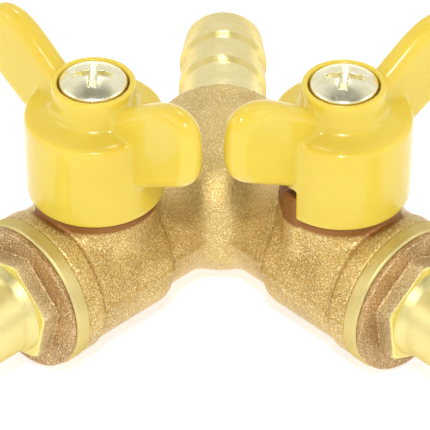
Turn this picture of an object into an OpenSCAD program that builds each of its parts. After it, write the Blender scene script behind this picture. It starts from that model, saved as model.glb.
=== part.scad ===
// Y-shaped hose splitter with two quarter-turn ball valves and three hose barbs.
// The origin is the centre of the inlet barb's mouth. +Y points out of the inlet,
// +Z points up along both valve stems, and each outlet runs 45 degrees off -Y.

/* [Layout] */
// Distance from the inlet mouth to the point where all three water ways meet
inlet_reach = 28.5; // [25:0.1:34]
// Distance from the meeting point to each valve stem, along its branch
stem_distance = 20.2; // [20:0.1:24]
// Angle of each branch away from straight ahead
branch_angle = 45; // [44:1:55]
// How far past square the right handle is turned shut
right_overtravel = 5; // [0:1:5]

/* [Water way] */
// Radius of the hole through the body and the end caps
bore_r = 3.5; // [2.5:0.1:3.6]

/* [Hose barbs] */
// Outside radius of the ridges that hold the hose
barb_r = 5.55; // [5.3:0.05:5.6]
// Outside radius at the bottom of the steps between ridges
barb_root_r = 5.25; // [5:0.05:5.3]
// Length from one ridge to the next
barb_pitch = 5.25; // [4.5:0.05:5.5]
// How much longer the first ridge is, to help the hose on
tip_len = 0.8; // [0.5:0.1:1]
// Length of the cylindrical crest on each ridge
crest_land = 0.7; // [0.5:0.1:1]
// Length of the slope behind each crest
crest_fall = 1.1; // [0.8:0.1:1.4]

/* [Body] */
// Radius of the hub where the three ways meet
hub_r = 9; // [8.5:0.1:9.5]
// Distance from the meeting point back to the hub's machined shoulder
hub_back = 7.6; // [7:0.1:9]
// Distance from the meeting point forward to the middle of the round nose
nose_forward = 3.4; // [2.5:0.1:4]
// Radius of each branch between the hub and the valve chamber
neck_r = 7.7; // [7.4:0.1:8]
// Radius of each valve chamber
chamber_r = 8.7; // [8.5:0.1:8.8]
// Radius of the heavier rim at the outlet end of each chamber
rim_r = 9.05; // [9:0.05:9.3]
// Distance from the stem back to the start of the chamber
chamber_back = 4.6; // [4.2:0.1:5]
// Distance from the stem forward to the start of the rim
rim_start = 6.6; // [6:0.1:7]
// Distance from the stem forward to the turned band at the outlet end
band_start = 9.5; // [9:0.1:10]
// Radius of the turned band
band_r = 9.15; // [9.1:0.05:9.3]
// Distance from the stem forward to the outlet face of the body
face_forward = 11.4; // [11:0.1:12]

/* [Stem boss] */
// Radius of the wide foot under the handle's skirt
foot_r = 7.3; // [7:0.1:7.5]
// Height of the top of the foot above the water way's axis
foot_top = 9.7; // [9.5:0.1:9.8]
// Radius of the tall inner boss that guides the stem
boss_r = 4.9; // [4.6:0.1:5.2]
// Height of the top of the inner boss
boss_top = 15.2; // [14.5:0.1:15.4]
// Outer radius of the stop lug on the foot
lug_r = 7.7; // [7.5:0.05:7.75]
// Height of the top of the stop lug
lug_top = 12.4; // [11.5:0.1:13]

/* [Ball and seats] */
// Radius of the ball
ball_r = 6.2; // [6:0.05:6.2]
// Gap between the ball and its seats
ball_gap = 0.06; // [0.04:0.01:0.1]
// Radius of the cavity that holds the ball and the seats
cavity_r = 6.4; // [6.35:0.05:6.5]
// Distance from the stem to the back of each seat
seat_back = 6; // [5.8:0.1:6.2]
// Distance from the stem to the lip of each seat
seat_lip = 3.3; // [3.2:0.1:3.6]

/* [Stem] */
// Radius of the hole that guides the stem
stem_hole_r = 3; // [2.8:0.05:3.2]
// Gap around the stem in its hole
stem_gap = 0.05; // [0.03:0.01:0.08]
// Radius of the flange that keeps the stem from blowing out
flange_r = 4.2; // [4:0.05:4.2]
// Height of the flange's underside
flange_low = 6.5; // [6.45:0.05:6.55]
// Thickness of the flange
flange_h = 0.7; // [0.6:0.05:0.75]
// Width across the flats of the square top
square_w = 4.2; // [3.8:0.1:4.2]
// Height of the stem's top
stem_top = 22.9; // [22:0.1:23]

/* [Handle] */
// Radius of the skirt
skirt_r = 8; // [7.9:0.05:8.1]
// Inner radius of the skirt
skirt_inner_r = 6.5; // [6.3:0.1:6.6]
// Height of the skirt's lower edge
skirt_low = 10; // [10:0.1:10.4]
// Height of the shoulder where the skirt turns in to the hub
shoulder_z = 20.9; // [20:0.1:21.2]
// Radius of the ring around the screw
ring_r = 4.9; // [4.8:0.05:5]
// Height of the ring's top
ring_top = 25.2; // [25:0.1:25.6]
// Reach of each wing from the stem
wing_reach = 17.2; // [16:0.1:17.2]
// Height of the highest point of each wing
wing_top = 28.7; // [28.2:0.1:29.5]
// Thickness of the wings
wing_t = 3.2; // [2.8:0.1:3.2]
// Width of the gap in the skirt that the stop lug sits in, in degrees
gap_angle = 118; // [117:1:119]

/* [End caps] */
// Radius of the thin flange that closes on the body
cap_flange_r = 8.95; // [8.8:0.05:9.1]
// Thickness of the flange
cap_flange_t = 0.8; // [0.6:0.1:1]
// Width across the flats of the hexagon
hex_w = 12; // [11.8:0.1:12.4]
// Thickness of the hexagon
hex_t = 2.2; // [2:0.1:3]
// Radius of the screwed-in spigot
spigot_r = 7.55; // [7.4:0.05:7.55]
// Chamfer on the inner end of the cap's bore
lead_in = 0.8; // [0.6:0.1:1]
// Turn of the left hexagon as it was tightened
left_hex_turn = 14; // [0:1:60]
// Turn of the right hexagon as it was tightened
right_hex_turn = -7; // [-60:1:60]

/* [Handle screw] */
// Radius of the screw's pan head
head_r = 4; // [3.6:0.05:4]
// Radius of the screw's shank
shank_r = 1.9; // [1.6:0.05:1.9]
// Length of the screw's shank below the head
shank_l = 8; // [6:0.5:8]

/* [Hidden] */
$fn = 96;
overlap = 0.4;
crossing_relief = 0.3;
barb_len = tip_len + 15.2;
tip_r = barb_r - 0.55;
thread_bore_r = spigot_r + 0.05;
seat_outer_r = cavity_r - 0.05;
seat_hole_r = bore_r + 0.3;
groove_floor_r = 6.85;
groove_w = 1.1;
groove_inset = 0.25;
cap_ring_tube = 0.35;
flange_top = flange_low + flange_h;
pocket_top = 8;
pocket_r = flange_r + 0.2;
washer_t = 0.7;
stem_r = stem_hole_r - stem_gap;
stem_groove_r = 2.05;
stem_groove_h = 1.1;
stem_ring_tube = 0.43;
stem_ring_r = stem_groove_r + stem_ring_tube + 0.02;
ring_heights = [9.6, 12.4];
square_low = 15.6;
tang_w = 2.4;
tang_len = 5.8;
tang_low = 4.8;
slot_play = 0.1;
hub_low = 15.8;
recess_floor = 23.4;
recess_r = 4.15;
lock_washer_t = 0.8;
head_low = recess_floor + lock_washer_t;
gap_ccw = 8;
gap_top = 14.1;
lug_from = -19;
lug_to = 2;
lug_root = 1.9;
nose_r = hub_r - 0.1;
cross_w = 0.95;
cross_l = 4.2;
cross_depth = 1.3;

BRASS = [0.80, 0.64, 0.36];
BRIGHT = [0.88, 0.83, 0.45];
STEEL = [0.86, 0.83, 0.74];
YELLOW = [0.98, 0.86, 0.30];
CHROME = [0.78, 0.79, 0.80];
PTFE = [0.94, 0.94, 0.90];
RUBBER = [0.09, 0.09, 0.10];

// ---- Places ----

// Heading of a branch, measured from +X, for side -1 (left) or 1 (right)
function heading(side) = -90 + side * branch_angle;

// Puts its children at the meeting point of the three ways
module at_meeting() {
    translate([0, -inlet_reach, 0]) children();
}

// Turns +X of its children along one branch
module along_branch(side) {
    at_meeting() rotate([0, 0, heading(side)]) children();
}

// Stands its children on one stem's axis, with +X along the branch
module at_stem(side) {
    along_branch(side) translate([stem_distance, 0, 0]) children();
}

// Turns what moves with a handle: +X becomes the leading wing of the shut valve
module on_handle(side) {
    at_stem(side) rotate([0, 0, -90 - (side > 0 ? right_overtravel : 0)]) children();
}

// Lays a shape made along +Z down along +X
module lay_along() {
    rotate([0, 90, 0]) children();
}

// A plain tube standing on z = low
module tube(outer, inner, low, high) {
    translate([0, 0, low]) difference() {
        cylinder(r = outer, h = high - low);
        translate([0, 0, -1]) cylinder(r = inner, h = high - low + 2);
    }
}

// A round ring of cord thickness, standing at height z
module cord_ring(middle_r, tube_r, z) {
    translate([0, 0, z]) rotate_extrude() translate([middle_r, 0]) circle(r = tube_r, $fn = 24);
}

// ---- Hose barb ----

// Points of one ridge whose tip side starts at distance x from the mouth
function ridge(x) = [
    [barb_root_r, x],
    [barb_r, x + barb_pitch - crest_fall - crest_land],
    [barb_r, x + barb_pitch - crest_fall]
];

// Solid barb standing on z = 0 with its mouth down
module barb() {
    second = tip_len + barb_pitch;
    rotate_extrude() polygon(concat(
        [[0, 0], [tip_r - 0.15, 0], [tip_r, 0.15]],
        [[barb_r, second - crest_fall - crest_land], [barb_r, second - crest_fall]],
        ridge(second),
        [[barb_root_r, second + barb_pitch], [barb_root_r, barb_len], [0, barb_len]]));
}

// ---- Body ----

// Radius of the curved shoulder between barb and hub, for a share of its length
function shoulder_r(t) = barb_root_r + (hub_r - 0.4 - barb_root_r) * (1 - cos(90 * t));

module inlet_shoulder() {
    steps = 8;
    start = barb_len - overlap;
    run = inlet_reach - hub_back - barb_len;
    rotate([90, 0, 0]) rotate_extrude() polygon(concat(
        [[0, start], [barb_root_r, start]],
        [for (i = [0:steps]) [shoulder_r(i / steps), barb_len + run * sin(90 * i / steps)]],
        [[hub_r, barb_len + run + 0.4], [hub_r, barb_len + run + 1], [0, barb_len + run + 1]]));
}

module hub() {
    at_meeting() {
        rotate([90, 0, 0]) translate([0, 0, -hub_back + 0.5])
            cylinder(r = hub_r, h = hub_back - 0.5 + nose_forward);
        translate([0, -nose_forward, 0]) sphere(r = nose_r);
    }
}

module branch(side) {
    back = stem_distance - chamber_back;
    rim = stem_distance + rim_start;
    band = stem_distance + band_start;
    face = stem_distance + face_forward;
    round_r = 1.2;
    steps = 5;
    along_branch(side) lay_along() rotate_extrude() polygon(concat(
        [[0, 0], [neck_r, 0], [neck_r, back - 0.3]],
        [for (i = [0:steps])
            [chamber_r - round_r + round_r * sin(90 * i / steps),
             back + round_r - round_r * cos(90 * i / steps)]],
        [[chamber_r, rim], [rim_r, rim + 0.3], [rim_r, band], [band_r, band + 0.05],
         [band_r, face - 0.25], [band_r - 0.25, face], [0, face]]));
}

module boss(side) {
    at_stem(side) {
        cylinder(r = foot_r, h = foot_top);
        cylinder(r = boss_r, h = boss_top);
        stop_lug();
    }
}

// Sector of the foot that the handle's skirt comes to rest against
module stop_lug() {
    rotate([0, 0, lug_from - 90]) rotate_extrude(angle = lug_to - lug_from)
        translate([boss_r - overlap, foot_top - lug_root])
            square([lug_r - boss_r + overlap, lug_top - foot_top + lug_root]);
}

module branch_hollow(side) {
    cavity_back = stem_distance - seat_back;
    along_branch(side) lay_along() {
        cylinder(r = bore_r, h = cavity_back + 1);
        translate([0, 0, cavity_back]) cylinder(r = cavity_r, h = 2 * seat_back);
        translate([0, 0, stem_distance + seat_back])
            cylinder(r = thread_bore_r, h = face_forward - seat_back + 1);
    }
    at_stem(side) {
        translate([0, 0, 3]) cylinder(r = pocket_r, h = pocket_top - 3);
        translate([0, 0, 3]) cylinder(r = stem_hole_r, h = boss_top);
    }
}

module inlet_hollow() {
    rotate([90, 0, 0]) translate([0, 0, -1]) cylinder(r = bore_r, h = inlet_reach + 1);
    relief = bore_r + crossing_relief;
    at_meeting() translate([0, 0, -relief]) cylinder(r = relief, h = 2 * relief);
}

module valve_body() {
    color(BRASS) difference() {
        union() {
            rotate([90, 0, 0]) barb();
            inlet_shoulder();
            hub();
            for (side = [-1, 1]) {
                branch(side);
                boss(side);
            }
        }
        inlet_hollow();
        for (side = [-1, 1]) branch_hollow(side);
    }
}

// ---- Ball, seats and seals ----

module ball(side) {
    color(CHROME) on_handle(side) difference() {
        sphere(r = ball_r);
        translate([-ball_r - 1, 0, 0]) lay_along() cylinder(r = bore_r, h = 2 * ball_r + 2);
        translate([-ball_r, -tang_w / 2 - slot_play / 2, tang_low - slot_play])
            cube([2 * ball_r, tang_w + slot_play, ball_r]);
    }
}

// PTFE seat with a hollow face that follows the ball; end is -1 (inlet side) or 1
module seat(side, end) {
    color(PTFE) at_stem(side) difference() {
        rotate([0, 0, end > 0 ? 0 : 180]) lay_along() tube(seat_outer_r, seat_hole_r, seat_lip, seat_back);
        sphere(r = ball_r + ball_gap);
    }
}

module thrust_washer(side) {
    color(PTFE) at_stem(side)
        tube(flange_r, stem_hole_r + 0.1, flange_top + 0.05, flange_top + 0.05 + washer_t);
}

module stem_ring(side, z) {
    color(RUBBER) on_handle(side) cord_ring(stem_ring_r, stem_ring_tube, z + stem_groove_h / 2);
}

module cap_ring(side) {
    color(RUBBER) along_branch(side) lay_along()
        cord_ring(groove_floor_r + cap_ring_tube + 0.02, cap_ring_tube,
                  stem_distance + face_forward - groove_inset - groove_w / 2);
}

// ---- Stem ----

module stem(side) {
    color(BRIGHT) on_handle(side) difference() {
        union() {
            translate([-tang_len / 2, -tang_w / 2, tang_low])
                cube([tang_len, tang_w, flange_low - tang_low + 0.2]);
            translate([0, 0, flange_low]) cylinder(r = flange_r, h = flange_h);
            translate([0, 0, flange_top - 0.1]) cylinder(r = stem_r, h = square_low - flange_top + 0.1);
            translate([-square_w / 2, -square_w / 2, square_low - 0.1])
                cube([square_w, square_w, stem_top - square_low + 0.1]);
        }
        for (z = ring_heights) tube(stem_hole_r + 1, stem_groove_r, z, z + stem_groove_h);
        translate([0, 0, head_low - shank_l - 0.5]) cylinder(r = shank_r + 0.02, h = shank_l + 1);
    }
}

// ---- Handle ----

// Outline of the hub and skirt, right half
module handle_outline() {
    polygon([
        [skirt_inner_r, skirt_low], [skirt_r - 0.55, skirt_low], [skirt_r - 0.2, skirt_low + 0.35],
        [skirt_r, skirt_low + 2.5], [skirt_r, shoulder_z - 0.7], [skirt_r - 0.2, shoulder_z - 0.2],
        [skirt_r - 0.6, shoulder_z], [ring_r + 0.7, shoulder_z + 0.6], [ring_r + 0.2, shoulder_z + 0.9],
        [ring_r, shoulder_z + 1.5], [ring_r, ring_top - 0.3], [ring_r - 0.25, ring_top],
        [recess_r, ring_top], [recess_r, recess_floor], [0, recess_floor],
        [0, hub_low], [skirt_inner_r, hub_low]
    ]);
}

// Outline of one wing, seen square to its flat face
module wing_outline() {
    crown_r = 3.4;
    corner_r = 1.6;
    crown = [wing_reach - crown_r - 1.3, wing_top - crown_r];
    polygon(concat(
        [[ring_r - 2, gap_top + 0.1], [skirt_r, gap_top + 0.4], [wing_reach - 4.9, 16.7]],
        [for (a = [-50:25:0]) [wing_reach - corner_r + corner_r * cos(a), 20.8 + corner_r * sin(a)]],
        [for (a = [0:15:60]) [wing_reach - crown_r + crown_r * cos(a), wing_top - crown_r - 0.3 + crown_r * sin(a)]],
        [for (a = [75:15:120]) [crown[0] + crown_r * cos(a), crown[1] + crown_r * sin(a)]],
        [[8.4, 26.2], [6.6, 25.2], [ring_r, ring_top - 0.3], [ring_r - 2, ring_top - 0.3]]));
}

module wing() {
    intersection() {
        rotate([90, 0, 0]) translate([0, 0, -wing_t / 2]) linear_extrude(height = wing_t) wing_outline();
        union() {
            translate([0, -wing_t / 2, 0]) cube([wing_reach - wing_t / 2, wing_t, wing_top + 1]);
            translate([wing_reach - wing_t / 2, 0, 0]) cylinder(r = wing_t / 2, h = wing_top + 1);
        }
    }
}

// The part of the skirt that is left open for the stop lug
module skirt_gap() {
    rotate([0, 0, gap_ccw - gap_angle]) rotate_extrude(angle = gap_angle)
        translate([boss_r + 0.3, skirt_low - 1]) square([skirt_r, gap_top - skirt_low + 1]);
}

module handle(side) {
    play = 0.1;
    color(YELLOW) on_handle(side) difference() {
        union() {
            rotate_extrude() handle_outline();
            for (turn = [0, 180]) rotate([0, 0, turn]) wing();
        }
        skirt_gap();
        translate([0, 0, recess_floor]) cylinder(r = recess_r, h = ring_top);
        translate([-(square_w + play) / 2, -(square_w + play) / 2, hub_low - 1])
            cube([square_w + play, square_w + play, recess_floor]);
        translate([0, 0, skirt_low - 1]) cylinder(r = skirt_inner_r, h = hub_low - skirt_low + 1);
    }
}

// ---- Handle screw and lock washer ----

module lock_washer(side) {
    color(STEEL) on_handle(side) difference() {
        tube(3.4, shank_r + 0.15, recess_floor + 0.01, head_low - 0.01);
        translate([0, -0.3, recess_floor - 1]) cube([5, 0.6, 3]);
    }
}

module handle_screw(side) {
    rim_h = 0.95;
    dome_h = 2.2;
    steps = 6;
    color(STEEL) on_handle(side) difference() {
        union() {
            rotate_extrude() polygon(concat(
                [[0, head_low], [head_r - 0.1, head_low], [head_r, head_low + 0.1]],
                [for (i = [0:steps]) [head_r * cos(90 * i / steps),
                    head_low + rim_h + (dome_h - rim_h) * sin(90 * i / steps)]]));
            translate([0, 0, head_low - shank_l]) cylinder(r = shank_r, h = shank_l + 0.1);
        }
        for (turn = [45, 135]) rotate([0, 0, turn])
            translate([-cross_l / 2, -cross_w / 2, head_low + dome_h - cross_depth])
                cube([cross_l, cross_w, cross_depth + 1]);
    }
}

// ---- End caps ----

module hexagon(turn) {
    corner_r = hex_w / 2 / cos(30);
    chamfer_r = corner_r - 0.35;
    base = stem_distance + face_forward + cap_flange_t;
    intersection() {
        translate([0, 0, base - overlap]) rotate([0, 0, turn]) cylinder(r = corner_r, h = hex_t + overlap, $fn = 6);
        rotate_extrude() polygon([
            [0, base - overlap], [corner_r + 1, base - overlap], [corner_r + 1, base + hex_t - 0.6],
            [chamfer_r, base + hex_t], [0, base + hex_t]
        ]);
    }
}

module end_cap(side) {
    face = stem_distance + face_forward;
    front = face + cap_flange_t;
    end = front + hex_t;
    root = end + 1.2;
    turn = side < 0 ? left_hex_turn : right_hex_turn;
    color(BRIGHT) along_branch(side) lay_along() difference() {
        union() {
            rotate_extrude() polygon([
                [0, stem_distance + seat_back], [spigot_r - 0.4, stem_distance + seat_back],
                [spigot_r, stem_distance + seat_back + 0.4], [spigot_r, face - groove_inset - groove_w],
                [groove_floor_r, face - groove_inset - groove_w], [groove_floor_r, face - groove_inset],
                [spigot_r, face - groove_inset], [spigot_r, face], [cap_flange_r, face],
                [cap_flange_r, front - 0.3], [cap_flange_r - 0.3, front], [0, front]
            ]);
            hexagon(turn);
            translate([0, 0, end - overlap]) cylinder(r = hex_w / 2 - 0.3, h = overlap);
            translate([0, 0, end]) cylinder(r1 = hex_w / 2 - 0.3, r2 = barb_root_r, h = root - end);
            translate([0, 0, root + barb_len]) mirror([0, 0, 1]) barb();
        }
        translate([0, 0, stem_distance]) cylinder(r = bore_r, h = root + barb_len);
        translate([0, 0, stem_distance + seat_back - 0.2])
            cylinder(r1 = bore_r + lead_in + 0.2, r2 = bore_r, h = lead_in + 0.2);
    }
}

// ---- Drawing ----

valve_body();

handle(-1);  // left_handle
handle_screw(-1);  // left_handle_screw
lock_washer(-1);  // left_lock_washer
stem(-1);  // left_stem
stem_ring(-1, ring_heights[1]);  // left_upper_stem_ring
stem_ring(-1, ring_heights[0]);  // left_lower_stem_ring
thrust_washer(-1);  // left_thrust_washer
ball(-1);  // left_ball
seat(-1, -1);  // left_inner_seat
seat(-1, 1);  // left_outer_seat
end_cap(-1);  // left_end_cap
cap_ring(-1);  // left_cap_ring

handle(1);  // right_handle
handle_screw(1);  // right_handle_screw
lock_washer(1);  // right_lock_washer
stem(1);  // right_stem
stem_ring(1, ring_heights[1]);  // right_upper_stem_ring
stem_ring(1, ring_heights[0]);  // right_lower_stem_ring
thrust_washer(1);  // right_thrust_washer
ball(1);  // right_ball
seat(1, -1);  // right_inner_seat
seat(1, 1);  // right_outer_seat
end_cap(1);  // right_end_cap
cap_ring(1);  // right_cap_ring
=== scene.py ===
"""Y-shaped brass hose splitter: forged body, two quarter-turn valves, three hose barbs.

Lengths inside the classes are millimetres in the object's own frame, and meshes are made
in metres. The origin is the middle of the inlet mouth, +Y leaves the inlet and +Z runs up
along both valve stems.
"""

import logging
import math
from dataclasses import dataclass, field
from enum import Enum
from typing import ClassVar

import bmesh
import bpy
from mathutils import Matrix, Vector


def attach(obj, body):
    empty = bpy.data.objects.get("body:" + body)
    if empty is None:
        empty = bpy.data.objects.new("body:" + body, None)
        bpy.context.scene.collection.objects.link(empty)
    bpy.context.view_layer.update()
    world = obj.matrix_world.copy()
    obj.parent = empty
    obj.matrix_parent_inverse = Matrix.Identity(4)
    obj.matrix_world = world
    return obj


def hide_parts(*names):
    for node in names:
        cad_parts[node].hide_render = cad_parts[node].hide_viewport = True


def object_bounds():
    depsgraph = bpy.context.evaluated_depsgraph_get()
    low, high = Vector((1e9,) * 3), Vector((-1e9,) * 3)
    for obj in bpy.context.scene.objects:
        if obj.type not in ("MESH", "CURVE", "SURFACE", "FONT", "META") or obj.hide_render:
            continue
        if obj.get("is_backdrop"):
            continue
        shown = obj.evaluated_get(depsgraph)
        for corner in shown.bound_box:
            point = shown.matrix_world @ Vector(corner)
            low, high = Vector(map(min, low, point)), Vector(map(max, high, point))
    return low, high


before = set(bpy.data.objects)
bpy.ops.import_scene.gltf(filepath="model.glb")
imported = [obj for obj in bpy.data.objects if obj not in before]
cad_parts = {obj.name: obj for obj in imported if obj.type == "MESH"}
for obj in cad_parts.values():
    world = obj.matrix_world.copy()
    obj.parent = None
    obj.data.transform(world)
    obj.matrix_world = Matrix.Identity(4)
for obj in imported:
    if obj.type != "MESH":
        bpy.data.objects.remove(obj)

LOG = logging.getLogger("hose_splitter")
MM = 0.001
WHITE = (1.0, 1.0, 1.0, 1)


class Side(Enum):
    """The two branches, seen from above with the inlet at the back."""

    LEFT = -1
    RIGHT = 1

    @property
    def word(self) -> str:
        """The side's name as the nodes spell it."""
        return self.name.lower()


# ---- Expressions on sockets ----


class Sock:
    """One output socket of a node, with arithmetic that adds Math nodes."""

    def __init__(self, tree: "Tree", socket: bpy.types.NodeSocket) -> None:
        """Keeps the tree that new nodes go into, and the socket itself."""
        self.tree = tree
        self.socket = socket

    def other(self, name: str) -> "Sock":
        """Another output of the same node, by its name."""
        return Sock(self.tree, self.socket.node.outputs[name])

    def math(self, operation: str, *others: "Sock | float") -> "Sock":
        """This socket through one Math node.

        Args:
            operation: the Math node's operation.
            others: the values or sockets of its further inputs.

        Returns:
            The Math node's output.
        """
        inputs = {i: v for i, v in enumerate((self, *others))}
        return self.tree.node("ShaderNodeMath", {"operation": operation}, inputs)

    def __add__(self, other: "Sock | float") -> "Sock":
        """Sum."""
        return self.math("ADD", other)

    __radd__ = __add__

    def __sub__(self, other: "Sock | float") -> "Sock":
        """Difference."""
        return self.math("SUBTRACT", other)

    def __rsub__(self, other: float) -> "Sock":
        """Number minus socket."""
        return self.tree.node("ShaderNodeMath", {"operation": "SUBTRACT"}, {0: other, 1: self})

    def __mul__(self, other: "Sock | float") -> "Sock":
        """Product."""
        return self.math("MULTIPLY", other)

    __rmul__ = __mul__

    def __truediv__(self, other: "Sock | float") -> "Sock":
        """Quotient."""
        return self.math("DIVIDE", other)

    def __neg__(self) -> "Sock":
        """Opposite."""
        return self.math("MULTIPLY", -1.0)

    def size(self) -> "Sock":
        """Absolute value."""
        return self.math("ABSOLUTE")

    def most(self, other: "Sock | float", soft: float = 0.0) -> "Sock":
        """Larger of the two, blended over a distance: what both shapes share."""
        if soft:
            return self.math("SMOOTH_MAX", other, soft)
        return self.math("MAXIMUM", other)

    def least(self, other: "Sock | float", soft: float = 0.0) -> "Sock":
        """Smaller of the two, blended over a distance: both shapes together."""
        if soft:
            return self.math("SMOOTH_MIN", other, soft)
        return self.math("MINIMUM", other)

    def ramp(self, low: float, high: float, to_low: float = 0.0, to_high: float = 1.0) -> "Sock":
        """Smooth step.

        Args:
            low: value where the step starts.
            high: value where it ends.
            to_low: result at and below the start.
            to_high: result at and above the end.

        Returns:
            The stepped value.
        """
        settings = {"interpolation_type": "SMOOTHSTEP"}
        inputs = {"Value": self, "From Min": low, "From Max": high, "To Min": to_low, "To Max": to_high}
        return self.tree.node("ShaderNodeMapRange", settings, inputs)


class Tree:
    """A shader or geometry node tree that is written as expressions."""

    def __init__(self, nodes: bpy.types.NodeTree) -> None:
        """Starts on an empty tree."""
        self.nodes = nodes
        nodes.nodes.clear()

    def node(
        self,
        kind: str,
        settings: dict | None = None,
        inputs: dict | None = None,
        out: int | str = 0,
    ) -> Sock | None:
        """Adds one node.

        Args:
            kind: the node's type.
            settings: its properties, set before its sockets. "stops" fills a colour ramp.
            inputs: values or sockets by input name or number.
            out: the output to return.

        Returns:
            The chosen output, or None where the node has none.
        """
        made = self.nodes.nodes.new(kind)
        for name, value in (settings or {}).items():
            if name == "stops":
                ramp = made.color_ramp
                while len(ramp.elements) < len(value):
                    ramp.elements.new(1.0)
                for element, (place, colour) in zip(ramp.elements, value):
                    element.position = place
                    element.color = colour
            else:
                setattr(made, name, value)
        for name, value in (inputs or {}).items():
            if isinstance(value, Sock):
                self.nodes.links.new(value.socket, made.inputs[name])
            else:
                made.inputs[name].default_value = value
        return Sock(self, made.outputs[out]) if len(made.outputs) else None

    def blend(self, share: Sock | float, first: object, second: object, how: str = "MIX") -> Sock:
        """Mixes two colours.

        Args:
            share: how much of the second.
            first: colour or socket.
            second: colour or socket.
            how: the Mix node's blend type.

        Returns:
            The mixed colour.
        """
        settings = {"data_type": "RGBA", "blend_type": how}
        return self.node("ShaderNodeMix", settings, {0: share, 6: first, 7: second}, out=2)

    def vector(self, operation: str, first: object, second: object = None, out: str = "Vector") -> Sock:
        """One Vector Math node on one or two vectors."""
        inputs = {0: first} if second is None else {0: first, 1: second}
        return self.node("ShaderNodeVectorMath", {"operation": operation}, inputs, out)

    def in_millimetres(self, place: Sock) -> Sock:
        """A position in metres, in millimetres."""
        return self.node("ShaderNodeVectorMath", {"operation": "SCALE"}, {0: place, 3: 1.0 / MM})

    def parts(self, place: Sock) -> tuple[Sock, Sock, Sock]:
        """The three components of a vector."""
        x = self.node("ShaderNodeSeparateXYZ", {}, {0: place})
        return x, x.other("Y"), x.other("Z")

    def length(self, arm: Sock) -> Sock:
        """Length of a vector."""
        return self.vector("LENGTH", arm, out="Value")

    def hyp(self, a: Sock, b: Sock, c: Sock | float = 0.0) -> Sock:
        """Length of the vector with the given components: distance off an axis or a point."""
        return self.length(self.node("ShaderNodeCombineXYZ", {}, {0: a, 1: b, 2: c}))

    def streaks(self, value: Sock, scale: float, detail: float, rough: float) -> Sock:
        """Noise along one line, for tool marks."""
        inputs = {"W": value, "Scale": scale, "Detail": detail, "Roughness": rough}
        return self.node("ShaderNodeTexNoise", {"noise_dimensions": "1D"}, inputs)


# ---- Finishes ----


@dataclass(frozen=True)
class Finish:
    """A surface finish that is made once, the first time that it is asked for."""

    name: str
    made: ClassVar[dict] = {}

    def shade(self, tree: Tree, place: Sock) -> Sock:
        """Adds the shader of the finish.

        Args:
            tree: the material's node tree.
            place: the Object coordinate, in millimetres.

        Returns:
            The shader's output.
        """
        raise NotImplementedError

    def material(self) -> bpy.types.Material:
        """Makes the material, or returns the one already made.

        Returns:
            The Blender material.
        """
        if self.name not in Finish.made:
            made = bpy.data.materials.new(self.name)
            made.use_nodes = True
            tree = Tree(made.node_tree)
            spot = tree.in_millimetres(tree.node("ShaderNodeTexCoord", {}, {}, out="Object"))
            tree.node("ShaderNodeOutputMaterial", {}, {0: self.shade(tree, spot)})
            Finish.made[self.name] = made
        return Finish.made[self.name]

    @staticmethod
    def noise(tree: Tree, place: Sock, pitch: float, detail: float = 2.0, rough: float = 0.5) -> Sock:
        """Grey noise whose lumps are about pitch millimetres apart."""
        inputs = {"Vector": place, "Scale": 1.0 / pitch, "Detail": detail, "Roughness": rough}
        return tree.node("ShaderNodeTexNoise", {}, inputs)

    @staticmethod
    def bump(tree: Tree, height: Sock, depth: float) -> Sock:
        """Turns a height into a surface normal.

        Args:
            tree: the material's node tree.
            height: the height, 0 to 1.
            depth: how deep the full height is, in millimetres.

        Returns:
            The normal.
        """
        inputs = {"Height": height, "Distance": depth * MM, "Strength": 1.0}
        return tree.node("ShaderNodeBump", {}, inputs)

    @staticmethod
    def surface(tree: Tree, **inputs: object) -> Sock:
        """A Principled shader with the given sockets."""
        named = {name.replace("_", " "): value for name, value in inputs.items()}
        return tree.node("ShaderNodeBsdfPrincipled", {}, named)


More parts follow.
